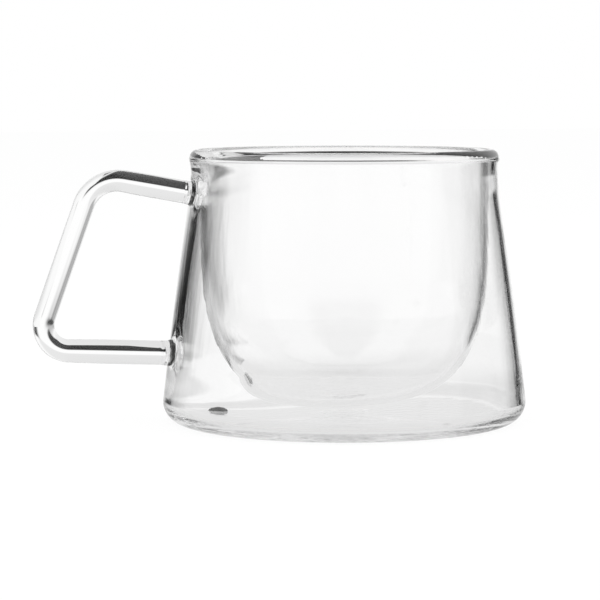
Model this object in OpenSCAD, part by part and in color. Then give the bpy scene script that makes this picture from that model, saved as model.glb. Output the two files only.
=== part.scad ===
// Double walled glass cup. A U-shaped inner bowl hangs by its lip inside a conical outer wall,
// a floor with a rounded heel closes the wall, and a bent glass rod is welded on as a handle.
// The origin is the middle of the standing face. +Z runs up the cup, the handle lies along -X.

/* [Outer wall] */
// Height from the standing face to the top of the lip
cup_h = 69.1; // [64:0.1:85]
// Radius that the wall's taper would reach at the standing face
base_r = 46.7; // [44:0.1:52]
// Radius that the wall closes in on at its neck
neck_r = 38.5; // [36:0.1:41]
// Distance from the top of the lip down to the bend of the neck
neck_drop = 7.3; // [6:0.1:9]
// Softness of the neck's bend into the taper
neck_blend = 4.4; // [1:0.1:6]
// Outward swell of the taper, half way down
wall_swell = 0.38; // [0:0.01:0.8]
// Thickness of the wall
wall_t = 1.8; // [1.3:0.1:2.4]

/* [Lip] */
// Outward flare of the wall from the neck up to the lip
lip_flare = 0.55; // [0:0.05:1]
// Height of the straight band under the lip's round
lip_band_h = 0.5; // [0.2:0.1:1.5]

/* [Floor] */
// Thickness of the floor
floor_t = 2.8; // [2:0.1:3.6]
// Radius of the heel between wall and floor
heel_r = 5.5; // [4.5:0.1:8]
// Radius of the mound where the floor was sealed
floor_pip_r = 8; // [4:0.5:12]
// Height of that mound
floor_pip_h = 0.7; // [0.2:0.1:1]

/* [Inner bowl] */
// Thickness of the bowl
bowl_t = 1.35; // [1:0.05:2]
// Least air gap between bowl and wall, at the neck
neck_gap = 0.55; // [0.3:0.05:2]
// Air gap between the floor and the bottom of the bowl
floor_gap = 2.4; // [2:0.1:6]
// Height of the bowl's rounded part
bowl_round_h = 44.4; // [36:0.1:50]
// Power of the bowl's curve at its side, where 2 is an ellipse
bowl_side_power = 3.5; // [2:0.1:5]
// Power of the bowl's curve at its bottom, where 2 is an ellipse
bowl_floor_power = 2.85; // [2:0.05:4]
// Radius of the drop where the bowl was sealed
bowl_pip_r = 6.4; // [4:0.2:10]
// Height of that drop
bowl_pip_h = 0.6; // [0.2:0.1:0.9]

/* [Handle] */
// Diameter of the glass rod
rod_d = 5.7; // [4.5:0.1:7]
// Distance from the top of the lip down to the upper arm, at the wall
upper_arm_drop = 10.7; // [9:0.1:14]
// Height of the lower arm above the standing face, at the wall
lower_arm_z = 18.6; // [16:0.1:24]
// Reach of the upper corner beyond the wall
upper_corner_reach = 25.0; // [20:0.1:32]
// Height that the upper arm gains on its way out
upper_corner_rise = 4.6; // [0:0.1:8]
// Reach of the lower corner beyond the wall
lower_corner_reach = 35.0; // [28:0.1:42]
// Height that the lower arm gains on its way out
lower_corner_rise = 1.7; // [0:0.1:5]
// Bend radius of the upper corner, on the rod's middle line
upper_bend_r = 8.9; // [5:0.1:12]
// Bend radius of the lower corner, on the rod's middle line
lower_bend_r = 6.5; // [5:0.1:12]
// Swell of the rod's radius where it was bent
bend_swell = 0.03; // [0.02:0.01:0.3]

/* [Handle welds] */
// Length of the upper weld along its arm
upper_weld_len = 2.4; // [1.6:0.1:4]
// Radius of the upper weld's foot on the wall
upper_weld_foot_r = 3.8; // [3.6:0.1:5]
// Length of the lower weld along its arm
lower_weld_len = 3.3; // [2:0.1:5]
// Radius of the lower weld's foot on the wall
lower_weld_foot_r = 4.6; // [4:0.1:6]

/* [Vent] */
// Radius of the vent hole in the floor
vent_r = 1.7; // [1.2:0.1:2.2]
// Distance of the vent in from the start of the heel
vent_inset = 8.2; // [4:0.1:20]
// Angle of the vent behind the handle
vent_turn = 19.5; // [10:0.5:90]
// Radius of the plug's bulb above the floor
bulb_r = 2.6; // [2.4:0.1:3.4]
// Height of that bulb
bulb_h = 1.9; // [1:0.1:2.4]
// Depth of the plug's end inside the standing face
plug_recess = 0.4; // [0.2:0.1:1]

/* [Hidden] */
glass_tint = [0.80, 0.90, 0.92, 0.45];
seam_tint = [0.68, 0.84, 0.88, 0.6];
plug_tint = [0.35, 0.35, 0.36];
$fn = 96;

// Counts of straight steps along the curved profiles
wall_steps = 24;
bowl_steps = 30;
heel_steps = 10;
lip_steps = 18;
pip_steps = 8;
weld_steps = 10;

neck_z = cup_h - neck_drop;
// Share of the heel's radius over which the wall's lean is measured
lean_step_share = 0.05;

// How far down the taper a height is: near 0 at the neck, 1 at the standing face. A hyperbola
// turns it softly from the straight neck into the steady taper.
function taper(z) = ((neck_z - z) + sqrt(pow(neck_z - z, 2) + pow(neck_blend, 2))) / 2 / neck_z;

// Height of the seam between wall and lip, for a lip as wide as both walls and their gap
function flare(z, seam_z) = lip_flare * pow(max(0, z - neck_z) / (seam_z - neck_z), 2);
lip_w = wall_t + bowl_t + neck_gap + lip_flare;
lip_seam_z = cup_h - lip_band_h - lip_w / 2;

// Outer radius of the wall at a height: the taper, its swell and the flare to the lip
function wall_r(z) = neck_r + (base_r - neck_r) * taper(z)
    + 4 * wall_swell * taper(z) * (1 - taper(z)) + flare(z, lip_seam_z);

// The wall leans in by this angle above the heel, and the heel's arc starts square to it
lean_step = heel_r * lean_step_share;
wall_lean = atan2(wall_r(heel_r) - wall_r(heel_r + lean_step), lean_step);
heel_seam_z = heel_r * (1 + sin(wall_lean));
heel_mid_r = wall_r(heel_seam_z) - heel_r * cos(wall_lean);
heel_in_r = heel_r - floor_t;
heel_in_seam_z = heel_r + heel_in_r * sin(wall_lean);
heel_in_mid_r = wall_r(heel_in_seam_z) - wall_t - heel_in_r * cos(wall_lean);

wall_zs = [for (i = [0:wall_steps]) heel_seam_z + (lip_seam_z - heel_seam_z) * i / wall_steps];

// The bowl clears the narrowest place of the wall by the neck's gap
bowl_r = min([for (z = wall_zs) wall_r(z)]) - wall_t - neck_gap;
bowl_bottom_z = floor_t + floor_gap;
bowl_shoulder_z = bowl_bottom_z + bowl_round_h;

lip_in_r = bowl_r - bowl_t;
lip_out_r = wall_r(lip_seam_z);
lip_mid_r = (lip_in_r + lip_out_r) / 2;
lip_half_w = (lip_out_r - lip_in_r) / 2;

// A smooth mound of a height that falls to nothing at a radius
function mound(r, mound_r, mound_h) =
    r >= mound_r ? 0 : mound_h * (1 + cos(180 * r / mound_r)) / 2;

// Points of a bowl curve drawn in by an inset, from the shoulder to the middle. The curve is a
// superellipse, stepped by angle, with the sealed drop under its middle.
function bowl_curve(inset, pip_h) = [for (i = [0:bowl_steps])
    let (a = 90 * i / bowl_steps,
         r = (bowl_r - inset) * pow(cos(a), 2 / bowl_side_power),
         z = bowl_shoulder_z - (bowl_round_h - inset) * pow(sin(a), 2 / bowl_floor_power))
    [i == bowl_steps ? 0 : r, z - mound(r, bowl_pip_r, pip_h)]];

function reversed(points) = [for (i = [len(points) - 1:-1:0]) points[i]];
function unit(v) = v / norm(v);

// Places of the handle, as distance from the cup's axis and height
rod_r = rod_d / 2;
upper_arm_z = cup_h - upper_arm_drop;
upper_foot = [wall_r(upper_arm_z), upper_arm_z];
lower_foot = [wall_r(lower_arm_z), lower_arm_z];
upper_corner = upper_foot + [upper_corner_reach, upper_corner_rise];
lower_corner = lower_foot + [lower_corner_reach, lower_corner_rise];
upper_out = unit(upper_corner - upper_foot);
lower_out = unit(lower_corner - lower_foot);

// Half the angle that the rod makes at a corner, between the directions to its two neighbours
function half_corner(to_a, to_b) = acos(to_a * to_b) / 2;
upper_half = half_corner(-upper_out, unit(lower_corner - upper_corner));
lower_half = half_corner(-lower_out, unit(upper_corner - lower_corner));
// Length that a straight stretch of rod runs on inside a bend, where the bend's swell covers it
function tuck(bend_r) = sqrt(bend_swell * bend_r);
upper_trim = upper_bend_r / tan(upper_half) - tuck(upper_bend_r);
lower_trim = lower_bend_r / tan(lower_half) - tuck(lower_bend_r);
grip = unit(lower_corner - upper_corner);

// The vent's place on the floor
vent_out = heel_mid_r - vent_inset;
vent_x = -vent_out * cos(vent_turn);
vent_y = vent_out * sin(vent_turn);
// Overrun that carries a cut clear of the faces it goes through
overrun = 1;

// Puts a handle drawn as distance and height into the upright plane behind -X
module in_handle_plane() {
    rotate([0, 0, 180]) rotate([90, 0, 0]) children();
}

// A straight stretch of rod between two places
module rod_run(from, to) {
    way = to - from;
    translate(from) rotate([0, 0, atan2(way.y, way.x)]) rotate([0, 90, 0])
        cylinder(r = rod_r, h = norm(way));
}

// A bend of rod round a corner, from the place where it leaves to the place where it arrives
module rod_bend(corner, to_a, to_b, half, bend_r) {
    middle = corner + unit(to_a + to_b) * bend_r / sin(half);
    end = corner + to_b * bend_r / tan(half) - middle;
    translate(middle) rotate([0, 0, atan2(end.y, end.x)])
        rotate_extrude(angle = 180 - 2 * half) translate([bend_r, 0]) circle(r = rod_r + bend_swell);
}

// A flared foot whose side is a quarter of an ellipse, hollow outwards, cut to fit the wall
module weld(foot, out, weld_len, foot_r) {
    side = [for (i = [0:weld_steps])
        let (a = 90 * i / weld_steps)
        [foot_r - (foot_r - rod_r) * sin(a), weld_len * (1 - cos(a))]];
    difference() {
        in_handle_plane() translate(foot)
            rotate([0, 0, atan2(out.y, out.x)]) rotate([0, 90, 0])
                rotate_extrude() polygon(concat([[0, -foot_r]], [[foot_r, -foot_r]],
                                                side, [[0, weld_len]]));
        wall_body();
    }
}

// The space that the wall encloses, with the wall itself
module wall_body() {
    rotate_extrude() polygon(concat([[0, heel_seam_z]],
                                    [for (z = wall_zs) [wall_r(z), z]], [[0, lip_seam_z]]));
}

module inner_cup() {
    color(glass_tint) rotate_extrude() polygon(concat(
        [[bowl_r, lip_seam_z]], bowl_curve(0, bowl_pip_h),
        reversed(bowl_curve(bowl_t, 0)), [[lip_in_r, lip_seam_z]]));
}

module outer_wall() {
    color(glass_tint) rotate_extrude() polygon(concat(
        [for (z = wall_zs) [wall_r(z), z]],
        [for (z = reversed(wall_zs)) [wall_r(z) - wall_t, z]]));
}

module base_disc() {
    arc = [for (i = [0:heel_steps]) wall_lean - (wall_lean + 90) * i / heel_steps];
    outside = [for (a = arc) [heel_mid_r + heel_r * cos(a), heel_r * (1 + sin(a))]];
    inside = [for (a = reversed(arc)) [heel_in_mid_r + heel_in_r * cos(a), heel_r + heel_in_r * sin(a)]];
    top = [for (i = [0:pip_steps])
        let (r = floor_pip_r * i / pip_steps) [r, floor_t + mound(r, floor_pip_r, floor_pip_h)]];
    color(glass_tint) difference() {
        rotate_extrude() polygon(concat(outside, [[0, 0]], top, inside,
                                        [[wall_r(heel_seam_z) - wall_t, heel_seam_z]]));
        translate([vent_x, vent_y, -overrun]) cylinder(r = vent_r, h = floor_t + 2 * overrun);
    }
}

module rim_bead() {
    round_z = cup_h - lip_half_w;
    cap = [for (i = [0:lip_steps])
        let (a = 180 * i / lip_steps)
        [lip_mid_r + lip_half_w * cos(a), round_z + lip_half_w * sin(a)]];
    color(seam_tint) rotate_extrude()
        polygon(concat([[lip_in_r, lip_seam_z]], [[lip_out_r, lip_seam_z]], cap));
}

module handle_rod() {
    color(glass_tint) in_handle_plane() union() {
        rod_run(upper_foot + upper_out * upper_weld_len, upper_corner - upper_out * upper_trim);
        rod_bend(upper_corner, -upper_out, grip, upper_half, upper_bend_r);
        rod_run(upper_corner + grip * upper_trim, lower_corner - grip * lower_trim);
        rod_bend(lower_corner, -grip, -lower_out, lower_half, lower_bend_r);
        rod_run(lower_corner - lower_out * lower_trim, lower_foot + lower_out * lower_weld_len);
    }
}

module upper_handle_weld() {
    color(seam_tint) weld(upper_foot, upper_out, upper_weld_len, upper_weld_foot_r);
}

module lower_handle_weld() {
    color(seam_tint) weld(lower_foot, lower_out, lower_weld_len, lower_weld_foot_r);
}

module vent_plug() {
    dome = [for (i = [0:pip_steps])
        let (a = 90 * i / pip_steps) [bulb_r * cos(a), floor_t + bulb_h * sin(a)]];
    color(plug_tint) translate([vent_x, vent_y, 0]) rotate_extrude()
        polygon(concat([[0, plug_recess], [vent_r, plug_recess], [vent_r, floor_t]], dome));
}

inner_cup();
outer_wall();
base_disc();
rim_bead();
handle_rod();
upper_handle_weld();
lower_handle_weld();
vent_plug();
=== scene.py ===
"""Double walled glass cup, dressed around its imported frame.

Every piece of glass is a surface worked out from a profile or a path, in metres, in the frame of
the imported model: the origin is the middle of the standing face, +Z runs up, the handle is at -X.
"""

from types import SimpleNamespace

import bpy
import numpy as np
from bpy.props import FloatProperty, FloatVectorProperty, IntProperty, PointerProperty
from mathutils import Matrix, Vector


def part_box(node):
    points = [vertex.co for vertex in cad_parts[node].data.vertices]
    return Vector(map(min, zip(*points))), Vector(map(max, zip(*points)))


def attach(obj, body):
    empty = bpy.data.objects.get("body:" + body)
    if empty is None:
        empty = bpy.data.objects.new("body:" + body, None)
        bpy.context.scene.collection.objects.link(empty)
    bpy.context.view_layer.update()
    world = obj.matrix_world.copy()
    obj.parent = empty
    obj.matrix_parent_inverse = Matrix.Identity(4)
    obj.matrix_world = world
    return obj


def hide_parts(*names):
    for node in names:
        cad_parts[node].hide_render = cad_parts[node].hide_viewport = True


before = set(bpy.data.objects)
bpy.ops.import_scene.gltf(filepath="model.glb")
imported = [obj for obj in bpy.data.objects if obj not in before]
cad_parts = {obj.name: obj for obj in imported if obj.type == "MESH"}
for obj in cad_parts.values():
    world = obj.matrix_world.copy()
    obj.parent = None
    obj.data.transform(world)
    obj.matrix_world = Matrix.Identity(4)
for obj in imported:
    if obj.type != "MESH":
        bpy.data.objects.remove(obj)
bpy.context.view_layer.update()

bl_info = {
    "name": "Double walled glass cup",
    "version": (1, 0, 0),
    "blender": (4, 5, 0),
    "location": "View3D > Sidebar > Cup",
    "description": "Builds a double walled glass cup around its packed frame",
    "category": "Add Mesh",
}

MM = 0.001
BODY = "root"
GLASS, FUSED = 0, 1
LIP_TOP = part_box("rim_bead")[1].z
LIP_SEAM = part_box("rim_bead")[0].z
HEEL_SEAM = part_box("outer_wall")[0].z
VENT_LOW, VENT_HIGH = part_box("vent_plug")
BOWL_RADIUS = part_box("inner_cup")[1].x

# The vent hole's radius as a share of the plug's bulb, both as in the part
VENT_SHARE = 1.7 / 2.6

# How finely the pieces are drawn: distances along a profile or path, and counts of steps. CROWDING is
# the share by which the steps round the cup bunch up at the handle
WALL_STEP = 0.4 * MM
BOWL_CURVE_STEP = 0.45 * MM
BOWL_NECK_STEP = 0.5 * MM
BOWL_CURVE_POINTS = 1200
UNDERSIDE_STEP = 1.0 * MM
HEEL_STEPS = 40
INNER_HEEL_STEPS = 28
FLOOR_POINTS = 130
SEAM_POINTS = 8
ROOF_STEPS = 24
CROWN_STEPS = 80
ROD_STEP = 0.25 * MM
ROD_SIDES = 72
FOOT_SIDES = 96
FLARE_POINTS = 37
UNDER_POINTS = 9
ROUND_SIDES = 64
DOME_POINTS = 25
PLUG_FACE_STEP = 0.3 * MM
PLUG_SIDE_STEP = 0.2 * MM
CROWDING = 0.4
SHARP_DEGREES = 32
ON_AXIS = 1e-9
NEWTON_ROUNDS = 8
NEWTON_STEP = 1e-6

# Marks of hand work. A ripple's spread and length are shares of its foot's radius, its curl is in
# radians, and it settles to nothing over EASE_LENGTH before each seam. The plug's marks are shares of
# its radius and height
MOUND_RINGS = 2.5
RING_SHARE = 0.08
EASE_LENGTH = 9 * MM
RIPPLE_SPREAD = 1.3
RIPPLE_LENGTH = 1.1
RIPPLE_CURL = 1.4
CURL_TURN = 0.7
FLARE_POWER = 1.4
COLLARS = 2
COLLAR_HEIGHT = 0.04 * MM
COLLAR_SWELL = 0.4
COLLAR_TWIST = 0.5
SLOPE_SHARE = 0.05
PLUG_CLEARANCE = 0.02 * MM
PLUG_LIFT = 0.01 * MM
DOME_POWERS = (0.8, 0.9)
PLUG_PINCH = 0.16
PINCH_TURN = 0.9
PLUG_LUMPS = 0.1
PLUG_LEAN = 0.3


def length(name, description, default):
    """A size in metres, as a property."""
    return FloatProperty(name=name, description=description, default=default, min=0.0,
                         subtype="DISTANCE", unit="LENGTH", precision=5)


class CupWallSettings(bpy.types.PropertyGroup):
    """Sizes of the outer wall, the lip and the floor."""

    base_radius: length("Base radius", "Radius that the taper would reach at the floor", 46.7 * MM)
    neck_radius: length("Neck radius", "Radius that the wall closes in on at its neck", 38.5 * MM)
    neck_drop: length("Neck drop", "Distance from the lip's top down to the neck's bend", 7.3 * MM)
    neck_blend: length("Neck blend", "Softness of the neck's bend into the taper", 4.4 * MM)
    swell: length("Swell", "Outward swell of the taper, half way down", 0.38 * MM)
    flare: length("Flare", "Outward flare of the wall from neck to lip", 0.55 * MM)
    thickness: length("Thickness", "Thickness of the outer wall", 1.8 * MM)
    handle_side: length("Handle side", "How much thicker the wall is beside the handle", 1.0 * MM)
    far_side: length("Far side", "How much thinner the wall is opposite the handle", 0.25 * MM)
    ripple: length("Ripple", "Height of the ripples that the welds left inside the wall", 0.035 * MM)
    roof: length("Roof", "Height that the air gap reaches up into the lip", 0.35 * MM)
    floor: length("Floor", "Thickness of the floor", 2.8 * MM)
    heel: length("Heel", "Radius of the heel between wall and floor", 5.5 * MM)
    pip_radius: length("Mound radius", "Radius of the mound where the floor was sealed", 8 * MM)
    pip_height: length("Mound height", "Height of that mound", 0.7 * MM)
    turns: IntProperty(name="Turns", description="Steps round bowl, wall, floor and lip", default=256, min=24)


class CupBowlSettings(bpy.types.PropertyGroup):
    """Sizes of the inner bowl."""

    thickness: length("Thickness", "Thickness of the bowl", 1.35 * MM)
    round_height: length("Rounded part", "Height of the bowl's rounded part", 44.4 * MM)
    side_power: FloatProperty(name="Side power", description="Power of the curve at the side",
                              default=3.5)
    floor_power: FloatProperty(name="Floor power", description="Power of the curve at the bottom",
                               default=2.85)
    pip_radius: length("Drop radius", "Radius of the drop where the bowl was sealed", 6.4 * MM)
    pip_height: length("Drop height", "Height of that drop", 0.6 * MM)


class CupHandleSettings(bpy.types.PropertyGroup):
    """Sizes of the handle's rod and welds."""

    upper_diameter: length("Upper arm", "Diameter of the rod in the upper arm", 5.7 * MM)
    bend_diameter: length("Drawn bend", "Diameter of the rod, drawn thin in the upper bend", 5.2 * MM)
    grip_diameter: length("Grip", "Diameter of the rod in the slanted grip", 5.35 * MM)
    lower_diameter: length("Lower arm", "Diameter of the rod in the lower arm", 6.05 * MM)
    upper_drop: length("Upper arm drop", "Distance from the lip's top to the upper arm", 10.7 * MM)
    lower_height: length("Lower arm height", "Height of the lower arm at the wall", 18.6 * MM)
    upper_reach: length("Upper reach", "Reach of the upper corner beyond the wall", 25.0 * MM)
    upper_rise: length("Upper rise", "Height that the upper arm gains", 4.6 * MM)
    lower_reach: length("Lower reach", "Reach of the lower corner beyond the wall", 35.0 * MM)
    lower_rise: length("Lower rise", "Height that the lower arm gains", 1.7 * MM)
    upper_bend: length("Upper bend", "Bend radius of the upper corner", 8.9 * MM)
    lower_bend: length("Lower bend", "Bend radius of the lower corner", 6.5 * MM)
    upper_weld: length("Upper weld", "Length of the upper weld along its arm", 2.4 * MM)
    upper_foot: length("Upper foot", "Radius of the upper weld's foot on the wall", 3.8 * MM)
    lower_weld: length("Lower weld", "Length of the lower weld along its arm", 3.3 * MM)
    lower_foot: length("Lower foot", "Radius of the lower weld's foot on the wall", 4.6 * MM)


class CupFinishSettings(bpy.types.PropertyGroup):
    """Colours and finish of glass and plug."""

    glass: FloatVectorProperty(name="Glass", description="Tint of the glass", subtype="COLOR",
                               size=3, default=(0.998, 0.998, 0.998), min=0, max=1)
    index: FloatProperty(name="Index", description="Index of refraction of the glass", default=1.47)
    silicone: FloatVectorProperty(name="Silicone", description="Colour of the vent's plug",
                                  subtype="COLOR", size=3, default=(0.06, 0.06, 0.06), min=0, max=1)
    shank: FloatVectorProperty(name="Shank", description="Colour of the plug's shank in the glass",
                               subtype="COLOR", size=3, default=(0.8, 0.8, 0.8), min=0, max=1)


class CupStageSettings(bpy.types.PropertyGroup):
    """Camera, floor and studio."""

    azimuth: FloatProperty(name="Azimuth", description="Turn of the camera round the cup, in degrees",
                           default=-16.0)
    elevation: FloatProperty(name="Elevation", description="Height of the camera, in degrees",
                             default=4.494)
    distance: length("Distance", "Distance from the camera to the cup's middle", 650 * MM)
    focal_pixels: FloatProperty(name="Focal length", description="Focal length in pixels of the photo",
                                default=2559.9)
    middle_across: FloatProperty(name="Across", description="Pixel column of the cup's middle",
                                 default=344.04)
    middle_down: FloatProperty(name="Down", description="Pixel row of the cup's middle", default=285.4)
    platform: length("Platform", "Radius of the pale platform that the glass shows", 62 * MM)
    handle_depth: length("Handle depth", "Depth of the pale floor behind the handle", 25 * MM)
    strip_width: length("Strip width", "Reach of the pale strip behind the cup to the right", 48 * MM)
    strip_left: length("Strip left", "Reach of that strip to the left", 38 * MM)
    strip_corner: length("Strip corner", "Reach of that strip to the left beside the cup", 70 * MM)
    strip_reach: length("Strip reach", "Reach of that strip", 250 * MM)
    floor_reach: length("Floor reach", "Half the width of the floor", 4000 * MM)
    # The platform's brightness by the cup is painted shade: it glows darker there, as if the cup shaded it
    near_painted_shade: FloatProperty(name="Near light", description="Brightness of the platform by the cup",
                              default=0.76)
    far_light: FloatProperty(name="Far light", description="Brightness of the strip's far end",
                             default=0.96)


# The picture's width in pixels, the camera's sensor and how often light may pass or leave a surface
FRAME_PIXELS = 600
SENSOR_MM = 36.0
GLASS_BOUNCES = 64


# Shapes


def taper(z, wall):
    """How far down the taper a height is: near 0 at the neck and 1 at the floor, by a hyperbola."""
    neck = LIP_TOP - wall.neck_drop
    return ((neck - z) + np.sqrt((neck - z) ** 2 + wall.neck_blend ** 2)) / 2 / neck


def wall_radius(z, wall):
    """Outer radius at a height: neck radius, plus the taper, its swell and the flare to the lip."""
    share = taper(z, wall)
    neck = LIP_TOP - wall.neck_drop
    flare = wall.flare * (np.clip(z - neck, 0, None) / (LIP_SEAM - neck)) ** 2
    return (wall.neck_radius + (wall.base_radius - wall.neck_radius) * share
            + 4 * wall.swell * share * (1 - share) + flare)


def mound(radius, reach, height):
    """A smooth mound: half a cosine wave, height at the middle and nothing from reach outwards, with
    the faint rings that its sealing left, a sine wave that fades outwards."""
    share = np.minimum(radius / reach, 1)
    rings = RING_SHARE * np.sin(2 * np.pi * MOUND_RINGS * share) * (1 - share)
    return height * ((1 + np.cos(np.pi * share)) / 2 + rings)


def evenly(points, step):
    """The same line with points about step apart along it."""
    along = np.r_[0, np.cumsum(np.hypot(*np.diff(points, axis=0).T))]
    places = np.linspace(0, along[-1], max(2, int(round(along[-1] / step)) + 1))
    return np.stack([np.interp(places, along, points[:, k]) for k in range(2)], axis=1)


def line(start, end, step):
    """A straight profile from start to end, with points about step apart."""
    return evenly(np.array([start, end], float), step)


def arc(middle, radius, start, end, steps):
    """A round profile about middle from one angle to another, in radians."""
    angles = np.linspace(start, end, steps + 1)
    return np.stack([middle[0] + radius * np.cos(angles), middle[1] + radius * np.sin(angles)], axis=1)


def chain(*stretches):
    """Joins (points, kind) stretches end to end: the points, and the kind of surface after each."""
    points, kinds = [], []
    for stretch, kind in stretches:
        keep = stretch[1:] if points else stretch
        points.append(keep)
        kinds += [kind] * (len(stretch) - 1)
    return np.concatenate(points), np.array(kinds)


def steps_round(turns):
    """Angles round the cup: even steps plus a sine, which crowds them together at the handle."""
    even = np.linspace(0, 2 * np.pi, turns, endpoint=False)
    return even + CROWDING * np.sin(even)


def revolve(points, kinds, turns):
    """A profile (radius, height) turned about Z: x = r cos a, y = r sin a. A closed profile wraps, and
    an open one ends in poles on the axis. Returns corners, faces and each face's kind."""
    closed = np.allclose(points[0], points[-1])
    rows = points[:-1] if closed else points
    angles = steps_round(turns)
    poles = rows[:, 0] < ON_AXIS
    first = np.concatenate([[0], np.cumsum(np.where(poles, 1, turns))[:-1]])
    index = first[:, None] + np.where(poles[:, None], 0, np.arange(turns)[None, :])
    corners = np.stack([rows[:, :1] * np.cos(angles), rows[:, :1] * np.sin(angles),
                        np.repeat(rows[:, 1:], turns, axis=1)], axis=2)
    keep = ~poles[:, None] | (np.arange(turns)[None, :] == 0)
    corners = corners[keep]
    if closed:
        index = np.concatenate([index, index[:1]])
        poles = np.r_[poles, poles[0]]
    return corners, *grid_faces(index, kinds, poles)


def grid_faces(index, kinds, poles):
    """Faces between the rows of an index grid that wraps sideways. A pole's row gives triangles."""
    low, high = index[:-1], index[1:]
    quads = np.stack([low, np.roll(low, -1, 1), np.roll(high, -1, 1), high], axis=2)
    faces, face_kinds = [], []
    plain = ~poles[:-1] & ~poles[1:]
    for rows, columns in ((plain, [0, 1, 2, 3]), (poles[:-1], [0, 2, 3]), (poles[1:], [0, 1, 2])):
        part = quads[rows][:, :, columns]
        faces += part.reshape(-1, len(columns)).tolist()
        face_kinds.append(np.repeat(np.asarray(kinds)[rows], index.shape[1]))
    return faces, np.concatenate(face_kinds)


def sweep(middles, across, up, radii, sides):
    """A round tube: at each middle a circle of its radius in the plane of across and up, with a flat
    fused cap on each end. Returns corners, faces and each face's kind."""
    angles = np.linspace(0, 2 * np.pi, sides, endpoint=False)
    rings = (middles[:, None] + radii[:, None, None] * (np.cos(angles)[None, :, None] * across[:, None]
             + np.sin(angles)[None, :, None] * up[:, None]))
    return lofted(rings, middles[0], middles[-1])


def lofted(rings, start, end, start_kind=FUSED, end_kind=FUSED):
    """A closed skin over rings of corners, closed at both ends by fans to the points start and end."""
    rows, sides = rings.shape[:2]
    corners = np.concatenate([start[None], rings.reshape(-1, 3), end[None]])
    index = np.concatenate([np.zeros((1, sides), int), 1 + np.arange(rows * sides).reshape(rows, sides),
                            np.full((1, sides), rows * sides + 1)])
    poles = np.zeros(rows + 2, bool)
    poles[[0, -1]] = True
    kinds = np.r_[start_kind, np.zeros(rows - 1, int), end_kind]
    return corners, *grid_faces(index, kinds, poles)


def bowl_profile(inset, pip, bowl):
    """The bowl's curve, drawn in by inset, from the middle of its bottom to its shoulder: a superellipse
    with the sealed drop under its middle."""
    angles = np.linspace(np.pi / 2, 0, BOWL_CURVE_POINTS)
    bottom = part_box("inner_cup")[0].z + bowl.pip_height
    shoulder = bottom + bowl.round_height
    radius = (BOWL_RADIUS - inset) * np.cos(angles) ** (2 / bowl.side_power)
    radius[0] = 0
    height = shoulder - (bowl.round_height - inset) * np.sin(angles) ** (2 / bowl.floor_power)
    points = np.stack([radius, height - mound(radius, bowl.pip_radius, pip)], axis=1)
    return evenly(points, BOWL_CURVE_STEP)


def handle_places(wall, handle):
    """The upper and the lower arm, each with its foot and corner on the rod's middle line, as (distance
    from the axis, height), the direction out along it, and the sizes of its weld."""
    arms = []
    for height, reach, rise, weld, radius, diameter in (
            (LIP_TOP - handle.upper_drop, handle.upper_reach, handle.upper_rise, handle.upper_weld,
             handle.upper_foot, handle.upper_diameter),
            (handle.lower_height, handle.lower_reach, handle.lower_rise, handle.lower_weld,
             handle.lower_foot, handle.lower_diameter)):
        foot = np.array([wall_radius(height, wall), height])
        out = unit(np.array([reach, rise]))
        arms.append(SimpleNamespace(foot=foot, corner=foot + [reach, rise], out=out,
                                    start=foot + out * weld, weld=weld, radius=radius, rod=diameter / 2))
    return arms


def unit(vector):
    """The vector at a length of 1."""
    return vector / np.linalg.norm(vector)


def bend(corner, before, after, radius, step):
    """A round bend of the middle line at a corner, from the side of before to the side of after."""
    to_a, to_b = unit(before - corner), unit(after - corner)
    half = np.arccos(to_a @ to_b) / 2
    middle = corner + unit(to_a + to_b) * radius / np.sin(half)
    start = corner + to_a * radius / np.tan(half) - middle
    end = corner + to_b * radius / np.tan(half) - middle
    first, last = np.arctan2(start[1], start[0]), np.arctan2(end[1], end[0])
    turn = (last - first + np.pi) % (2 * np.pi) - np.pi
    steps = int(np.ceil(abs(turn) * radius / step))
    return arc(middle, radius, first, first + turn, steps)


def in_plane(points):
    """Handle points (distance, height) as places in space, in the upright plane behind -X."""
    return np.stack([-points[..., 0], np.zeros(points.shape[:-1]), points[..., 1]], axis=-1)


# Meshes and materials


def new_piece(name, corners, faces, kinds, node, slot, materials):
    """A closed mesh object at the origin that stands for a CAD node, smooth but for its sharp edges."""
    mesh = bpy.data.meshes.new(name)
    mesh.from_pydata(corners, [], faces)
    for material in materials:
        mesh.materials.append(material)
    mesh.polygons.foreach_set("material_index", np.asarray(kinds, np.int32))
    mesh.shade_smooth()
    mesh.set_sharp_from_angle(angle=np.radians(SHARP_DEGREES))
    mesh.update()
    if mesh.validate():
        raise RuntimeError(f"{name} has bad faces")
    if enclosed(mesh) <= 0:
        raise RuntimeError(f"{name} is inside out")
    piece = bpy.data.objects.new(name, mesh)
    bpy.context.scene.collection.objects.link(piece)
    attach(piece, BODY)
    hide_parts(node)
    return piece


def enclosed(mesh):
    """The volume inside a closed mesh, by the divergence theorem: a third of each face's area times its
    distance from the origin along its normal. It is below zero where the faces look inwards."""
    count = len(mesh.polygons)
    centres, normals, areas = np.zeros(3 * count), np.zeros(3 * count), np.zeros(count)
    mesh.polygons.foreach_get("center", centres)
    mesh.polygons.foreach_get("normal", normals)
    mesh.polygons.foreach_get("area", areas)
    return ((centres * normals).reshape(-1, 3).sum(1) * areas).sum() / 3


def fresh_tree(name):
    """A new material with an empty node tree, its nodes and its links."""
    material = bpy.data.materials.new(name)
    material.use_nodes = True
    material.node_tree.nodes.clear()
    return material, material.node_tree.nodes, material.node_tree.links


def maths(tree, operation, *values):
    """A Math node with these values or sockets as its inputs, and its output."""
    node = tree.nodes.new("ShaderNodeMath")
    node.operation = operation
    for socket, value in zip(node.inputs, values):
        if isinstance(value, bpy.types.NodeSocket):
            tree.links.new(value, socket)
        else:
            socket.default_value = value
    return node.outputs[0]


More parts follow.
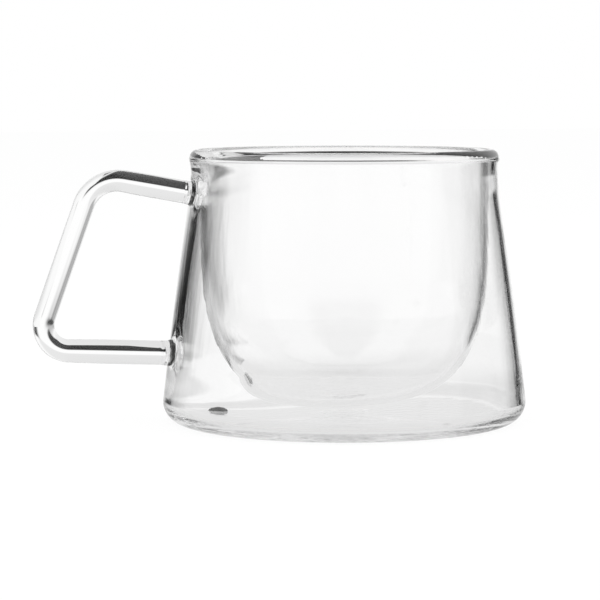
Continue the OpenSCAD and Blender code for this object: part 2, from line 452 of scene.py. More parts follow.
# Patterns of the blown glass: how many there are to a metre, and their detail. The lines are drawn out
# upright, by DRAWN_OUT of their number, and are as strong in each glass as DRAW_LINES says
GLASS_PATTERNS = {"lines": (260.0, 1.0), "fine": (800.0, 1.0), "waves": (45.0, 1.0), "haze": (90.0, 3.0)}
DRAWN_OUT = 0.05
FINE_SHARE = 0.3
DRAW_LINES = {"cup_glass": 1.0, "wall_glass": 1.0, "rod_glass": 0.3}
HAZE_POWER = 3.0
HAZE_MOST = 0.02
BUMP_DISTANCE = 0.02 * MM
SHADOW_TINT = (0.94, 0.94, 0.94, 1.0)

# Depth of the wall's open patch behind each foot, as a share of the wall's thickness
OPEN_DEPTH = 0.6

# The silicone's mottling: how many spots to a metre, the darkest and lightest as shares of its colour,
# and its depth. SHEEN is how much the mottling adds to the roughness, and the least roughness
MOTTLE_SCALE = 900.0
MOTTLE_TONES = (0.6, 1.6)
MOTTLE_BUMP = 0.05 * MM
SHEEN = (0.2, 0.3)


def blown_glass_group():
    """Height and haze of blown glass: faint upright draw lines and wide soft waves."""
    tree = bpy.data.node_groups.get("blown_glass")
    if tree:
        return tree
    tree = bpy.data.node_groups.new("blown_glass", "ShaderNodeTree")
    tree.interface.new_socket("Lines", in_out="INPUT", socket_type="NodeSocketFloat").default_value = 1.0
    tree.interface.new_socket("Height", in_out="OUTPUT", socket_type="NodeSocketFloat")
    tree.interface.new_socket("Haze", in_out="OUTPUT", socket_type="NodeSocketFloat")
    inputs, outputs = tree.nodes.new("NodeGroupInput"), tree.nodes.new("NodeGroupOutput")
    place = tree.nodes.new("ShaderNodeTexCoord")
    stretch = tree.nodes.new("ShaderNodeMapping")
    stretch.inputs["Scale"].default_value = (1.0, 1.0, DRAWN_OUT)
    tree.links.new(place.outputs["Object"], stretch.inputs["Vector"])
    patterns = {}
    for name, (scale, detail) in GLASS_PATTERNS.items():
        noise = tree.nodes.new("ShaderNodeTexNoise")
        noise.inputs["Scale"].default_value = scale
        noise.inputs["Detail"].default_value = detail
        source = stretch.outputs[0] if name in ("lines", "fine") else place.outputs["Object"]
        tree.links.new(source, noise.inputs["Vector"])
        patterns[name] = noise.outputs[0]
    both = maths(tree, "MULTIPLY_ADD", patterns["fine"], FINE_SHARE, patterns["lines"])
    drawn = maths(tree, "MULTIPLY", both, inputs.outputs["Lines"])
    tree.links.new(maths(tree, "ADD", drawn, patterns["waves"]), outputs.inputs["Height"])
    smudge = maths(tree, "MULTIPLY", maths(tree, "POWER", patterns["haze"], HAZE_POWER), HAZE_MOST)
    tree.links.new(smudge, outputs.inputs["Haze"])
    return tree


def axis_mask(tree, place, foot, out, reach, depth):
    """1 inside a round foot: within reach of the line through foot along out, and above depth behind
    foot. The vector from the foot is split along out and across it."""
    away = tree.nodes.new("ShaderNodeVectorMath")
    away.operation = "SUBTRACT"
    away.inputs[1].default_value = foot
    tree.links.new(place, away.inputs[0])
    along = tree.nodes.new("ShaderNodeVectorMath")
    along.operation = "DOT_PRODUCT"
    along.inputs[1].default_value = out
    tree.links.new(away.outputs[0], along.inputs[0])
    square = tree.nodes.new("ShaderNodeVectorMath")
    square.operation = "DOT_PRODUCT"
    tree.links.new(away.outputs[0], square.inputs[0])
    tree.links.new(away.outputs[0], square.inputs[1])
    along_squared = maths(tree, "MULTIPLY", along.outputs["Value"], along.outputs["Value"])
    across_squared = maths(tree, "SUBTRACT", square.outputs["Value"], along_squared)
    inside = maths(tree, "LESS_THAN", across_squared, reach ** 2)
    return maths(tree, "MULTIPLY", inside, maths(tree, "GREATER_THAN", along.outputs["Value"], depth))


def glass_material(name, finish, lines, open_feet=()):
    """Clear blown glass. Lamps' light passes it, tinted, and it is open inside the handle's feet."""
    material, nodes, links = fresh_tree(name)
    tree = material.node_tree
    out = nodes.new("ShaderNodeOutputMaterial")
    glass = nodes.new("ShaderNodeBsdfPrincipled")
    glass.inputs["Base Color"].default_value = (*finish.glass, 1.0)
    glass.inputs["Transmission Weight"].default_value = 1.0
    glass.inputs["IOR"].default_value = finish.index
    glass.inputs["Metallic"].default_value = 0.0
    blown = nodes.new("ShaderNodeGroup")
    blown.node_tree = blown_glass_group()
    blown.inputs["Lines"].default_value = lines
    bump = nodes.new("ShaderNodeBump")
    bump.inputs["Strength"].default_value = 1.0
    bump.inputs["Distance"].default_value = BUMP_DISTANCE
    links.new(blown.outputs["Height"], bump.inputs["Height"])
    links.new(bump.outputs["Normal"], glass.inputs["Normal"])
    links.new(blown.outputs["Haze"], glass.inputs["Roughness"])
    if open_feet:
        place = nodes.new("ShaderNodeTexCoord").outputs["Object"]
        masks = [axis_mask(tree, place, *foot) for foot in open_feet]
        links.new(maths(tree, "SUBTRACT", 1.0, maths(tree, "MAXIMUM", *masks)), glass.inputs["Alpha"])
    clear = nodes.new("ShaderNodeBsdfTransparent")
    clear.inputs["Color"].default_value = SHADOW_TINT
    path = nodes.new("ShaderNodeLightPath")
    mix = nodes.new("ShaderNodeMixShader")
    links.new(path.outputs["Is Shadow Ray"], mix.inputs[0])
    links.new(glass.outputs[0], mix.inputs[1])
    links.new(clear.outputs[0], mix.inputs[2])
    links.new(mix.outputs[0], out.inputs["Surface"])
    return material


def fused_material():
    """The inside of a weld, where glass runs on into glass: nothing shows."""
    material, nodes, links = fresh_tree("fused_seam")
    out = nodes.new("ShaderNodeOutputMaterial")
    clear = nodes.new("ShaderNodeBsdfTransparent")
    links.new(clear.outputs[0], out.inputs["Surface"])
    return material


def silicone_material(finish, seat):
    """Dark silicone with a soft sheen, faintly mottled, and pale below its seat, pressed to the glass."""
    material, nodes, links = fresh_tree("plug_silicone")
    tree = material.node_tree
    out = nodes.new("ShaderNodeOutputMaterial")
    skin = nodes.new("ShaderNodeBsdfPrincipled")
    place = nodes.new("ShaderNodeTexCoord").outputs["Object"]
    noise = nodes.new("ShaderNodeTexNoise")
    noise.inputs["Scale"].default_value = MOTTLE_SCALE
    links.new(place, noise.inputs["Vector"])
    ramp = nodes.new("ShaderNodeValToRGB")
    for stop, tone_share in zip(ramp.color_ramp.elements, MOTTLE_TONES):
        stop.color = (*[tone_share * c for c in finish.silicone], 1.0)
    links.new(noise.outputs[0], ramp.inputs[0])
    split = nodes.new("ShaderNodeSeparateXYZ")
    links.new(place, split.inputs[0])
    tone = nodes.new("ShaderNodeMix")
    tone.data_type = "RGBA"
    links.new(maths(tree, "LESS_THAN", split.outputs["Z"], seat), tone.inputs["Factor"])
    links.new(ramp.outputs[0], tone.inputs["A"])
    tone.inputs["B"].default_value = (*finish.shank, 1.0)
    links.new(tone.outputs["Result"], skin.inputs["Base Color"])
    links.new(maths(tree, "MULTIPLY_ADD", noise.outputs[0], *SHEEN), skin.inputs["Roughness"])
    bump = nodes.new("ShaderNodeBump")
    bump.inputs["Distance"].default_value = MOTTLE_BUMP
    links.new(noise.outputs[0], bump.inputs["Height"])
    links.new(bump.outputs["Normal"], skin.inputs["Normal"])
    links.new(skin.outputs[0], out.inputs["Surface"])
    return material


def made(name, make, *arguments):
    """The material of that name, made the first time it is asked for."""
    return bpy.data.materials.get(name) or make(*arguments)


def foot_masks(scene):
    """Both feet of the handle as (place, direction, reach, depth) for the wall's open patches."""
    wall, handle = scene.cup_wall, scene.cup_handle
    depth = -OPEN_DEPTH * wall.thickness
    return [(tuple(in_plane(arm.foot)), tuple(in_plane(arm.out)), arm.radius, depth)
            for arm in handle_places(wall, handle)]


def glasses(scene, kind="cup_glass"):
    """The glass and the fused material, in the order of the kinds of face."""
    feet = foot_masks(scene) if kind == "wall_glass" else ()
    glass = made(kind, glass_material, kind, scene.cup_finish, DRAW_LINES[kind], feet)
    return [glass, made("fused_seam", fused_material)]


# Operators


class CUP_OT_outer_wall(bpy.types.Operator):
    """Build the conical outer wall with its straight neck"""

    bl_idname = "cup.outer_wall"
    bl_label = "Outer wall"

    def execute(self, context):
        wall = context.scene.cup_wall
        heights = line((0, HEEL_SEAM), (0, LIP_SEAM), WALL_STEP)[:, 1]
        outside = np.stack([wall_radius(heights, wall), heights], axis=1)
        inside = (outside - [wall.thickness, 0])[::-1]
        points, kinds = chain((outside, GLASS), (np.array([outside[-1], inside[0]]), FUSED),
                              (inside, GLASS), (np.array([inside[-1], outside[0]]), FUSED))
        corners, faces, face_kinds = revolve(points, kinds, wall.turns)
        rings = corners.reshape(-1, wall.turns, 3)
        self.thicken(rings[len(outside):], wall, handle_places(wall, context.scene.cup_handle))
        new_piece("conical_outer_wall", corners, faces, face_kinds, "outer_wall", "glass",
                  glasses(context.scene, "wall_glass"))
        return {"FINISHED"}

    def thicken(self, rings, wall, arms):
        """Moves the inner face: in towards the handle and out opposite it, by the square of
        (1 - cos a) / 2 round the cup and fading to nothing at both seams, and ripples round each foot, a
        damped cosine of the distance that curls with the angle round the foot."""
        angles = np.arctan2(rings[..., 1], rings[..., 0])
        heights = rings[..., 2]
        settle = (smooth_share((heights - HEEL_SEAM) / EASE_LENGTH)
                  * smooth_share((LIP_SEAM - heights) / EASE_LENGTH))
        share = ((1 - np.cos(angles)) / 2) ** 2
        inwards = wall.handle_side * share - wall.far_side * (1 - share)
        for arm in arms:
            across = ((angles % (2 * np.pi)) - np.pi) * arm.foot[0]
            above = heights - arm.foot[1]
            away = np.hypot(across, above)
            turned = np.sin(2 * np.arctan2(above, across) + CURL_TURN)
            curl = RIPPLE_CURL * turned * np.minimum(away / arm.radius, 1)
            damped = np.exp(-(away / (RIPPLE_SPREAD * arm.radius)) ** 2)
            rounds = 2 * np.pi * away / (RIPPLE_LENGTH * arm.radius)
            inwards = inwards + wall.ripple * damped * np.cos(rounds + curl)
        radius = np.hypot(rings[..., 0], rings[..., 1])
        rings[..., :2] *= (1 - settle * inwards / radius)[..., None]


class CUP_OT_inner_bowl(bpy.types.Operator):
    """Build the U-shaped inner bowl"""

    bl_idname = "cup.inner_bowl"
    bl_label = "Inner bowl"

    def execute(self, context):
        bowl = context.scene.cup_bowl
        outside = bowl_profile(0.0, bowl.pip_height, bowl)
        inside = bowl_profile(bowl.thickness, 0.0, bowl)
        outer, inner = (BOWL_RADIUS, LIP_SEAM), (BOWL_RADIUS - bowl.thickness, LIP_SEAM)
        points, kinds = chain(
            (outside, GLASS),
            (line(outside[-1], outer, BOWL_NECK_STEP), GLASS),
            (np.array([outer, inner]), FUSED),
            (line(inner, inside[-1], BOWL_NECK_STEP), GLASS),
            (inside[::-1], GLASS))
        new_piece("u_shaped_inner_bowl", *revolve(points, kinds, context.scene.cup_wall.turns),
                  "inner_cup", "glass", glasses(context.scene))
        return {"FINISHED"}


class CUP_OT_floor(bpy.types.Operator):
    """Build the floor with its rounded heel, sealed mound and vent hole"""

    bl_idname = "cup.floor"
    bl_label = "Floor"

    def execute(self, context):
        wall = context.scene.cup_wall
        slope_step = SLOPE_SHARE * wall.heel
        lean = np.arctan2(wall_radius(wall.heel, wall) - wall_radius(wall.heel + slope_step, wall),
                          slope_step)
        heel_in = wall.heel - wall.floor
        seam_in = wall.heel + heel_in * np.sin(lean)
        outer_middle = (wall_radius(HEEL_SEAM, wall) - wall.heel * np.cos(lean), wall.heel)
        inner_middle = (wall_radius(seam_in, wall) - wall.thickness - heel_in * np.cos(lean), wall.heel)
        outer_heel = arc(outer_middle, wall.heel, -np.pi / 2, lean, HEEL_STEPS)
        inner_heel = arc(inner_middle, heel_in, lean, -np.pi / 2, INNER_HEEL_STEPS)
        radii = np.linspace(inner_middle[0], 0, FLOOR_POINTS)
        top = np.stack([radii, wall.floor + mound(radii, wall.pip_radius, wall.pip_height)], axis=1)
        seam_edge = np.array([wall_radius(HEEL_SEAM, wall) - wall.thickness, HEEL_SEAM])
        heights = np.linspace(HEEL_SEAM, seam_in, SEAM_POINTS)
        inner_wall = np.stack([wall_radius(heights, wall) - wall.thickness, heights], axis=1)
        points, kinds = chain(
            (line((0, 0), outer_heel[0], UNDERSIDE_STEP), GLASS),
            (outer_heel, GLASS),
            (np.array([outer_heel[-1], seam_edge]), FUSED),
            (np.concatenate([[seam_edge], inner_wall[1:-1], [inner_heel[0]]]), GLASS),
            (inner_heel, GLASS),
            (np.concatenate([[inner_heel[-1]], top[1:]]), GLASS))
        piece = new_piece("floor_with_heel", *revolve(points, kinds, wall.turns), "base_disc", "glass",
                          glasses(context.scene))
        self.drill(piece, wall)
        return {"FINISHED"}

    def drill(self, piece, wall):
        """Cuts the vent hole through the floor with a round cutter, by an exact boolean. The cutter is
        four times as long as the floor is thick."""
        middle = (VENT_LOW + VENT_HIGH) / 2
        bpy.ops.mesh.primitive_cylinder_add(vertices=ROUND_SIDES, radius=vent_radius(),
                                            depth=4 * wall.floor,
                                            location=(middle.x, middle.y, wall.floor / 2))
        cutter = bpy.context.object
        cut = piece.modifiers.new("vent_hole", "BOOLEAN")
        cut.operation = "DIFFERENCE"
        cut.solver = "EXACT"
        cut.object = cutter
        drilled = piece.evaluated_get(bpy.context.evaluated_depsgraph_get())
        shape = bpy.data.meshes.new_from_object(drilled)
        piece.modifiers.clear()
        old, piece.data = piece.data, shape
        shape.name = "floor_with_heel"
        bpy.data.meshes.remove(old)
        bpy.data.objects.remove(cutter)
        shape.shade_smooth()
        shape.set_sharp_from_angle(angle=np.radians(SHARP_DEGREES))


def vent_radius():
    """Radius of the vent hole, as a share of the plug's bulb."""
    return (VENT_HIGH.x - VENT_LOW.x) / 2 * VENT_SHARE


class CUP_OT_lip(bpy.types.Operator):
    """Build the rounded bead that joins bowl and wall at the lip"""

    bl_idname = "cup.lip"
    bl_label = "Lip"

    def execute(self, context):
        wall, bowl = context.scene.cup_wall, context.scene.cup_bowl
        inner = BOWL_RADIUS - bowl.thickness
        gap_out = wall_radius(LIP_SEAM, wall) - wall.thickness
        outer = wall_radius(LIP_SEAM, wall)
        roof = half_ellipse(BOWL_RADIUS, gap_out, wall.roof, ROOF_STEPS)
        crown = half_ellipse(outer, inner, LIP_TOP - LIP_SEAM, CROWN_STEPS)
        points, kinds = chain(
            (np.array([(inner, LIP_SEAM), (BOWL_RADIUS, LIP_SEAM)]), FUSED),
            (roof, GLASS),
            (np.array([(gap_out, LIP_SEAM), (outer, LIP_SEAM)]), FUSED),
            (crown, GLASS))
        new_piece("fused_lip_bead", *revolve(points, kinds, wall.turns), "rim_bead", "glass",
                  glasses(context.scene))
        return {"FINISHED"}


def half_ellipse(start, end, height, steps):
    """The upper half of an ellipse on the lip's seam, from one radius to another."""
    circle = arc((0, 0), 1, np.pi, 0, steps)
    return [(start + end) / 2, LIP_SEAM] + [(end - start) / 2, height] * circle


class CUP_OT_handle(bpy.types.Operator):
    """Build the bent glass rod of the handle"""

    bl_idname = "cup.handle"
    bl_label = "Handle rod"

    def execute(self, context):
        scene = context.scene
        wall, handle = scene.cup_wall, scene.cup_handle
        upper, lower = handle_places(wall, handle)
        upper_bend = bend(upper.corner, upper.start, lower.corner, handle.upper_bend, ROD_STEP)
        lower_bend = bend(lower.corner, upper.corner, lower.start, handle.lower_bend, ROD_STEP)
        stretches = (line(upper.start, upper_bend[0], ROD_STEP), upper_bend,
                     line(upper_bend[-1], lower_bend[0], ROD_STEP), lower_bend,
                     line(lower_bend[-1], lower.start, ROD_STEP))
        ends = np.cumsum([np.hypot(*np.diff(stretch, axis=0).T).sum() for stretch in stretches])
        whole = np.concatenate([stretches[0], *(stretch[1:] for stretch in stretches[1:])])
        path = evenly(whole, 2 * ROD_STEP)
        along = np.r_[0, np.cumsum(np.hypot(*np.diff(path, axis=0).T))]
        stations = np.array([0, 0.5 * ends[0], (ends[0] + ends[1]) / 2, ends[1], ends[2],
                             (ends[3] + ends[4]) / 2, ends[4]])
        diameters = [handle.upper_diameter, handle.upper_diameter, handle.bend_diameter,
                     handle.grip_diameter, handle.grip_diameter, handle.lower_diameter,
                     handle.lower_diameter]
        radii = smooth_steps(along, stations, np.array(diameters) / 2)
        heading = np.gradient(path, axis=0)
        heading /= np.linalg.norm(heading, axis=1)[:, None]
        side = in_plane(np.stack([-heading[:, 1], heading[:, 0]], axis=1))
        level = np.tile([0.0, 1.0, 0.0], (len(path), 1))
        new_piece("bent_handle_rod", *sweep(in_plane(path), side, level, radii, ROD_SIDES),
                  "handle_rod", "glass", glasses(scene, "rod_glass"))
        return {"FINISHED"}


def smooth_share(share):
    """A share eased by 3t^2 - 2t^3, and held at 0 and 1 outside."""
    share = np.clip(share, 0, 1)
    return share * share * (3 - 2 * share)


def smooth_steps(places, stations, values):
    """Values that ease from station to station by 3t^2 - 2t^3."""
    which = np.clip(np.searchsorted(stations, places, side="right") - 1, 0, len(stations) - 2)
    share = (places - stations[which]) / (stations[which + 1] - stations[which])
    ease = smooth_share(share)
    return values[which] * (1 - ease) + values[which + 1] * ease


class CUP_OT_welds(bpy.types.Operator):
    """Build the flared feet that join the handle's arms to the wall"""

    bl_idname = "cup.welds"
    bl_label = "Handle welds"

    def execute(self, context):
        scene = context.scene
        wall = scene.cup_wall
        upper, lower = handle_places(wall, scene.cup_handle)
        for name, node, arm in (("upper_weld_foot", "upper_handle_weld", upper),
                                ("lower_weld_foot", "lower_handle_weld", lower)):
            new_piece(name, *self.foot(wall, arm), node, "glass", glasses(scene, "rod_glass"))
        return {"FINISHED"}

    def foot(self, wall, arm):
        """The flare of one foot: a quarter of an ellipse, hollow outwards and drawn in by a power,
        carried round the arm's axis, with faint collars where the glass was worked, two sine waves that
        swell and twist round the axis. Its outer rim and its underside lie on the wall, found by Newton
        steps along the axis."""
        angles = np.linspace(0, 2 * np.pi, FOOT_SIDES, endpoint=False)
        middle, out = in_plane(arm.foot), in_plane(arm.out)
        up, level = in_plane(np.array([-arm.out[1], arm.out[0]])), np.array([0.0, 1.0, 0.0])
        around = np.cos(angles)[:, None] * level + np.sin(angles)[:, None] * up
        quarter = np.linspace(np.pi / 2, 0, FLARE_POINTS)[:-1]
        under = np.linspace(1, 0, UNDER_POINTS)[:-1]
        share = np.r_[1 - np.cos(quarter), np.zeros(len(under))]
        flare = (1 - np.sin(quarter)) ** FLARE_POWER
        radii = np.r_[arm.rod + (arm.radius - arm.rod) * flare, arm.radius * under]
        swell = 1 + COLLAR_SWELL * np.sin(3 * angles + 1)
        twist = COLLAR_TWIST * np.sin(5 * angles + 6 * share[:, None])
        waves = np.sin(2 * np.pi * COLLARS * share)[:, None] * swell[None] + twist
        worked = COLLAR_HEIGHT * np.sin(np.pi * share)[:, None] * waves
        spots = middle + (radii[:, None] + worked)[..., None] * around[None]
        depth = on_wall(spots, out, wall)
        along = depth + (arm.weld - depth) * share[:, None]
        rings = spots + along[..., None] * out
        centre = middle + on_wall(middle[None, None], out, wall)[0, 0] * out
        kinds = np.r_[np.full(len(quarter), GLASS), np.full(len(under) - 1, FUSED)]
        corners, faces, _ = lofted(rings, middle + arm.weld * out, centre)
        return corners, faces, np.r_[np.repeat(kinds, FOOT_SIDES), np.full(2 * FOOT_SIDES, FUSED)]


def on_wall(spots, out, wall):
    """How far along out each spot has to go to lie on the outer wall: where the distance from the axis
    equals the wall's radius at that height."""
    along = np.zeros(spots.shape[:2])
    for _ in range(NEWTON_ROUNDS):
        error, ahead = (off_wall(spots + (along + more)[..., None] * out, wall)
                        for more in (0, NEWTON_STEP))
        along = along - error * NEWTON_STEP / (ahead - error)
    return along


def off_wall(places, wall):
    """How far each place lies outside the wall's outer face, level with it."""
    return np.hypot(places[..., 0], places[..., 1]) - wall_radius(places[..., 2], wall)


class CUP_OT_vent_plug(bpy.types.Operator):
    """Build the silicone plug of the vent"""

    bl_idname = "cup.vent_plug"
    bl_label = "Vent plug"

    def execute(self, context):
        scene = context.scene
        wall = scene.cup_wall
        middle = (VENT_LOW + VENT_HIGH) / 2
        bulb = (VENT_HIGH.x - VENT_LOW.x) / 2
        shank = vent_radius() - PLUG_CLEARANCE
        seat = wall.floor + PLUG_LIFT
        height = VENT_HIGH.z - seat
        angles = np.linspace(0, np.pi / 2, DOME_POINTS)
        across, up = DOME_POWERS
        dome = np.stack([bulb * np.cos(angles) ** across, seat + height * np.sin(angles) ** up], axis=1)
        dome[-1, 0] = 0
        points, kinds = chain(
            (line((0, VENT_LOW.z), (shank, VENT_LOW.z), PLUG_FACE_STEP), GLASS),
            (line((shank, VENT_LOW.z), (shank, seat), PLUG_SIDE_STEP), GLASS),
            (line((shank, seat), (bulb, seat), PLUG_SIDE_STEP), GLASS),
            (dome, GLASS))
        corners, faces, face_kinds = revolve(points, kinds, ROUND_SIDES)
        self.squeeze(corners, seat, height)
        corners = corners + [middle.x, middle.y, 0]
        new_piece("silicone_vent_plug", corners, faces, face_kinds, "vent_plug", "silicone",
                  [made("plug_silicone", silicone_material, scene.cup_finish, seat)])
        return {"FINISHED"}

    def squeeze(self, corners, seat, height):
        """Makes a lump of the dome: drawn in by a cosine of twice the angle round it and a sine of three
        times that angle, more so higher up, and lower towards the wall."""
        above = np.clip((corners[:, 2] - seat) / height, 0, 1)
        angles = np.arctan2(corners[:, 1], corners[:, 0])
        pinch = PLUG_PINCH * (1 - np.cos(2 * angles + PINCH_TURN))
        lumps = PLUG_LUMPS * (1 + np.sin(3 * angles))
        narrow = 1 - above * (pinch + lumps)
        corners[:, :2] *= np.where(corners[:, 2] > seat, narrow, 1)[:, None]
        corners[:, 2] -= PLUG_LEAN * height * above * np.clip(-corners[:, 0] / height, 0, 1)


# Lamps: name, place in metres, width in metres and power in watts
LAMPS = (
    ("left_softbox", (-0.9, -0.9, 0.9), 0.7, 9.0),
    ("right_softbox", (1.0, -0.7, 0.8), 0.6, 7.0),
)
CLIP_METRES = (0.01, 20.0)

# The floor lies just under the cup. To the camera it glows white, but for the matt share that keeps
# the shadow. Each edge of its pale strip moves right by its slope for each metre behind the cup. Through
# glass the floor glows darker near the cup, a painted shade of the cup that fades out to the far light
# between two distances, as shares of the platform's radius
FLOOR_DROP = 0.05 * MM
FLOOR_COLOUR = (0.9, 0.9, 0.9, 1)
MATT_SHARE = 0.1
RIGHT_SLOPE = 0.3
CORNER_SLOPE = 0.5
LEFT_SLOPE = -0.05
PAINTED_SHADE_FADE = (0.8, 2.2)

# Cards of the studio as seen from the cup: the azimuths at which each begins, is full, is full until
# and ends at the horizon, its elevations in the same way, how far it leans, as azimuth per elevation,
# all in degrees, and its darkness
CARDS = (
    ("right_card", (10, 34, 46, 61), (-24, -14, 2, 4.5), 0, 0.98),
    ("right_side", (-28, -24, 5, 24), (-16, -12, 58, 64), 0, 0.3),
    ("left_card", (91, 105, 123, 137), (-8, -3, 2, 7), 2, 0.98),
    ("left_high", (100, 107, 122, 136), (1, 4, 12, 22), 0, 0.6),
    ("left_grey", (84, 100, 128, 140), (-24, -9, -2, 2), 0, 0.5),
    ("left_side", (120, 124, 172, 176), (-16, -12, 58, 64), 0, 0.3),
    ("low_card", (67, 71, 95, 101), (-96, -95, -10.5, -7.5), 0, 0.99),
    ("low_right_card", (50, 57, 64, 68), (-96, -95, -27, -21), 0, 0.99),
    ("upper_grey", (40, 55, 95, 110), (1, 4, 60, 80), 0, 0.2),
    ("camera_side", (-150, -130, -82, -62), (13, 24, 76, 88), 0, 0.9),
)


def in_glass(tree):
    """1 for a ray that has come through glass or off it, else 0."""
    path = tree.nodes.new("ShaderNodeLightPath")
    return maths(tree, "MAXIMUM", path.outputs["Is Transmission Ray"], path.outputs["Is Glossy Ray"])


def fade(tree, value, clear, full):
    """0 where the value is at clear, 1 where it is at full, and smooth between them."""
    node = tree.nodes.new("ShaderNodeMapRange")
    node.interpolation_type = "SMOOTHSTEP"
    node.inputs["From Min"].default_value = clear
    node.inputs["From Max"].default_value = full
    tree.links.new(value, node.inputs["Value"])
    return node.outputs[0]


def card_masks(tree, cards, azimuth, elevation):
    """What is left of the white studio past these cards: the product of 1 - darkness * mask."""
    left = None
    for name, across, up, lean, darkness in cards:
        middle = (across[1] + across[2]) / 2
        upright = maths(tree, "MULTIPLY_ADD", elevation, -lean, azimuth)
        aside = maths(tree, "WRAP", maths(tree, "SUBTRACT", upright, middle), 180.0, -180.0)
        edges = [fade(tree, aside, across[0] - middle, across[1] - middle),
                 fade(tree, aside, across[3] - middle, across[2] - middle),
                 fade(tree, elevation, up[0], up[1]),
                 fade(tree, elevation, up[3], up[2])]
        mask = edges[0]
        for edge in edges[1:]:
            mask = maths(tree, "MULTIPLY", mask, edge)
        open_share = maths(tree, "MULTIPLY_ADD", mask, -darkness, 1.0)
        open_share.node.label = name
        left = open_share if left is None else maths(tree, "MULTIPLY", left, open_share)
    return left


class CUP_OT_stage(bpy.types.Operator):
    """Build the camera, the pale floor, the lamps and the studio round the cup"""

    bl_idname = "cup.stage"
    bl_label = "Stage"

    def execute(self, context):
        scene = context.scene
        scene.view_settings.view_transform = "Standard"
        for limit in ("max_bounces", "transmission_bounces", "glossy_bounces",
                      "transparent_max_bounces"):
            setattr(scene.cycles, limit, GLASS_BOUNCES)
        self.camera(scene)
        self.floor(scene)
        self.lamps(scene)
        self.world(scene)
        return {"FINISHED"}

    def camera(self, scene):
        """A long lens at the photograph's angle, aimed so that the cup's middle is at its pixel."""
        stage = scene.cup_stage
        azimuth, elevation = np.radians(stage.azimuth), np.radians(stage.elevation)
        back = Vector((np.sin(azimuth) * np.cos(elevation), -np.cos(azimuth) * np.cos(elevation),
                       np.sin(elevation)))
        target = Vector((0, 0, LIP_TOP / 2))
        right = Vector((np.cos(azimuth), np.sin(azimuth), 0))
        up = back.cross(right)
        off_right = (stage.middle_across - FRAME_PIXELS / 2) / stage.focal_pixels
        off_up = (FRAME_PIXELS / 2 - stage.middle_down) / stage.focal_pixels
        look = (-back - right * off_right - up * off_up).normalized()
        data = bpy.data.cameras.new("photo_camera")
        data.sensor_width = SENSOR_MM
        data.lens = stage.focal_pixels / FRAME_PIXELS * SENSOR_MM
        data.clip_start, data.clip_end = CLIP_METRES
        camera = bpy.data.objects.new("photo_camera", data)
        side = look.cross(up).normalized()
        turn = Matrix((side, side.cross(look), -look)).transposed()
        camera.matrix_world = Matrix.Translation(target + back * stage.distance) @ turn.to_4x4()
        scene.collection.objects.link(camera)
        scene.camera = camera

    def floor(self, scene):
        """A square floor. White to the camera. Through glass and in its reflections, pale under the cup
        and in a strip behind it, with painted shade that darkens it near the cup, and clear beyond, so
        that the studio's cards show there."""
        stage = scene.cup_stage
        reach = stage.floor_reach
        mesh = bpy.data.meshes.new("studio_floor")
        corners = [(-reach, -reach, 0), (reach, -reach, 0), (reach, reach, 0), (-reach, reach, 0)]
        mesh.from_pydata(corners, [], [(0, 1, 2, 3)])
        floor = bpy.data.objects.new("studio_floor", mesh)
        scene.collection.objects.link(floor)
        floor.location.z = -FLOOR_DROP
        material, nodes, links = fresh_tree("pale_floor")
        tree = material.node_tree
        seen = nodes.new("ShaderNodeEmission")
        matt = nodes.new("ShaderNodeBsdfDiffuse")
        matt.inputs["Color"].default_value = FLOOR_COLOUR
        plain = nodes.new("ShaderNodeMixShader")
        plain.inputs[0].default_value = MATT_SHARE
        links.new(seen.outputs[0], plain.inputs[1])
        links.new(matt.outputs[0], plain.inputs[2])
        place = nodes.new("ShaderNodeTexCoord").outputs["Object"]
        turned = nodes.new("ShaderNodeVectorRotate")
        turned.rotation_type = "Z_AXIS"
        turned.inputs["Angle"].default_value = -np.radians(stage.azimuth)
        links.new(place, turned.inputs["Vector"])
        split = nodes.new("ShaderNodeSeparateXYZ")
        links.new(turned.outputs[0], split.inputs[0])
        across, deep = split.outputs["X"], split.outputs["Y"]
        away = nodes.new("ShaderNodeVectorMath")
        away.operation = "LENGTH"
        links.new(place, away.inputs[0])
        away = away.outputs["Value"]
        near = maths(tree, "LESS_THAN", away, stage.platform)
        within = maths(tree, "LESS_THAN", away, stage.strip_reach)
        apron = maths(tree, "MULTIPLY", maths(tree, "LESS_THAN", deep, stage.handle_depth), within)
        right_edge = maths(tree, "MULTIPLY_ADD", deep, RIGHT_SLOPE, stage.strip_width)
        corner_edge = maths(tree, "MULTIPLY_ADD", deep, CORNER_SLOPE, -stage.strip_corner)
        left_edge = maths(tree, "MULTIPLY_ADD", deep, LEFT_SLOPE, -stage.strip_left)
        left_of = maths(tree, "LESS_THAN", across, right_edge)
        right_of = maths(tree, "GREATER_THAN", across, maths(tree, "MINIMUM", corner_edge, left_edge))
        strip = maths(tree, "MULTIPLY", maths(tree, "MULTIPLY", left_of, right_of), within)
        table = maths(tree, "MAXIMUM", maths(tree, "MAXIMUM", near, apron), strip)
        # Painted shade: through glass the platform glows darker near the cup and lighter further out
        far = fade(tree, away, *(share * stage.platform for share in PAINTED_SHADE_FADE))
        under = nodes.new("ShaderNodeEmission")
        gain = stage.far_light - stage.near_painted_shade
        links.new(maths(tree, "MULTIPLY_ADD", far, gain, stage.near_painted_shade), under.inputs["Strength"])
        beyond = nodes.new("ShaderNodeBsdfTransparent")
        glassed = nodes.new("ShaderNodeMixShader")
        links.new(table, glassed.inputs[0])
        links.new(beyond.outputs[0], glassed.inputs[1])
        links.new(under.outputs[0], glassed.inputs[2])
        mix = nodes.new("ShaderNodeMixShader")
        links.new(in_glass(tree), mix.inputs[0])
        links.new(plain.outputs[0], mix.inputs[1])
        links.new(glassed.outputs[0], mix.inputs[2])
        out = nodes.new("ShaderNodeOutputMaterial")
        links.new(mix.outputs[0], out.inputs["Surface"])
        mesh.materials.append(material)

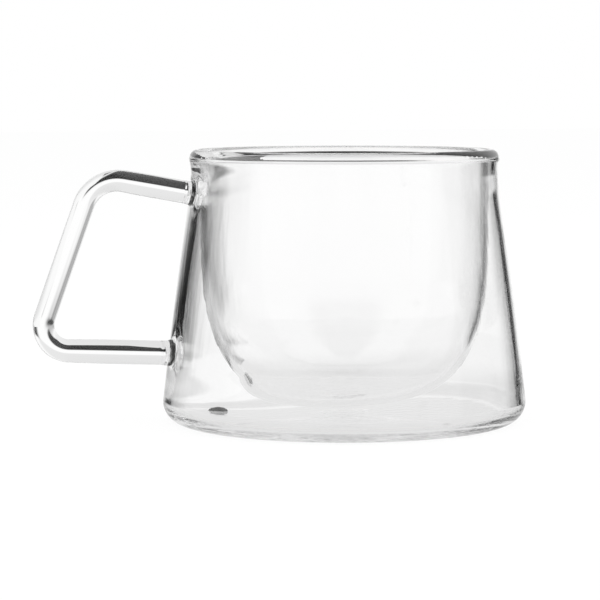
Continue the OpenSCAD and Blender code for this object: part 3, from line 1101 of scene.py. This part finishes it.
    def lamps(self, scene):
        """Two soft square lamps, turned to the cup's middle and unseen in the glass."""
        aim = Vector((0, 0, LIP_TOP / 2))
        for name, place, size, power in LAMPS:
            lamp = bpy.data.lights.new(name, "AREA")
            lamp.size = size
            lamp.energy = power
            lamp_object = bpy.data.objects.new(name, lamp)
            lamp_object.location = place
            lamp_object.rotation_euler = (Vector(place) - aim).to_track_quat("Z", "Y").to_euler()
            lamp_object.visible_transmission = False
            lamp_object.visible_glossy = False
            scene.collection.objects.link(lamp_object)

    def world(self, scene):
        """White to the camera. Through glass and in its reflections, the studio with its black cards."""
        world = bpy.data.worlds.new("studio")
        scene.world = world
        world.use_nodes = True
        tree = world.node_tree
        tree.nodes.clear()
        place = tree.nodes.new("ShaderNodeTexCoord")
        split = tree.nodes.new("ShaderNodeSeparateXYZ")
        tree.links.new(place.outputs["Generated"], split.inputs[0])
        azimuth = maths(tree, "DEGREES", maths(tree, "ARCTAN2", split.outputs["Y"], split.outputs["X"]))
        elevation = maths(tree, "DEGREES", maths(tree, "ARCSINE", split.outputs["Z"]))
        cards = card_masks(tree, CARDS, azimuth, elevation)
        strength = maths(tree, "MULTIPLY_ADD", in_glass(tree), maths(tree, "SUBTRACT", cards, 1.0), 1.0)
        glow = tree.nodes.new("ShaderNodeBackground")
        glow.inputs["Color"].default_value = (1, 1, 1, 1)
        tree.links.new(strength, glow.inputs["Strength"])
        out = tree.nodes.new("ShaderNodeOutputWorld")
        tree.links.new(glow.outputs[0], out.inputs["Surface"])


class CUP_PT_sidebar(bpy.types.Panel):
    """The cup's sizes and the steps that build it"""

    bl_label = "Glass cup"
    bl_idname = "CUP_PT_sidebar"
    bl_space_type = "VIEW_3D"
    bl_region_type = "UI"
    bl_category = "Cup"

    def draw(self, context):
        layout = self.layout
        for settings in GROUPS:
            group = getattr(context.scene, settings)
            box = layout.box()
            for name in group.bl_rna.properties.keys():
                if name not in ("rna_type", "name"):
                    box.prop(group, name)
        for operator in OPERATORS:
            layout.operator(operator.bl_idname)


GROUPS = {
    "cup_wall": CupWallSettings,
    "cup_bowl": CupBowlSettings,
    "cup_handle": CupHandleSettings,
    "cup_finish": CupFinishSettings,
    "cup_stage": CupStageSettings,
}
OPERATORS = (
    CUP_OT_stage,
    CUP_OT_outer_wall,
    CUP_OT_inner_bowl,
    CUP_OT_floor,
    CUP_OT_lip,
    CUP_OT_handle,
    CUP_OT_welds,
    CUP_OT_vent_plug,
)


def register():
    for name, settings in GROUPS.items():
        bpy.utils.register_class(settings)
        setattr(bpy.types.Scene, name, PointerProperty(type=settings))
    for item in (*OPERATORS, CUP_PT_sidebar):
        bpy.utils.register_class(item)


def unregister():
    for item in (CUP_PT_sidebar, *reversed(OPERATORS)):
        bpy.utils.unregister_class(item)
    for name, settings in GROUPS.items():
        delattr(bpy.types.Scene, name)
        bpy.utils.unregister_class(settings)


def main():
    """Build the stage and every piece."""
    register()
    for operator in OPERATORS:
        group, name = operator.bl_idname.split(".")
        getattr(getattr(bpy.ops, group), name)()


if __name__ == "__main__":
    main()
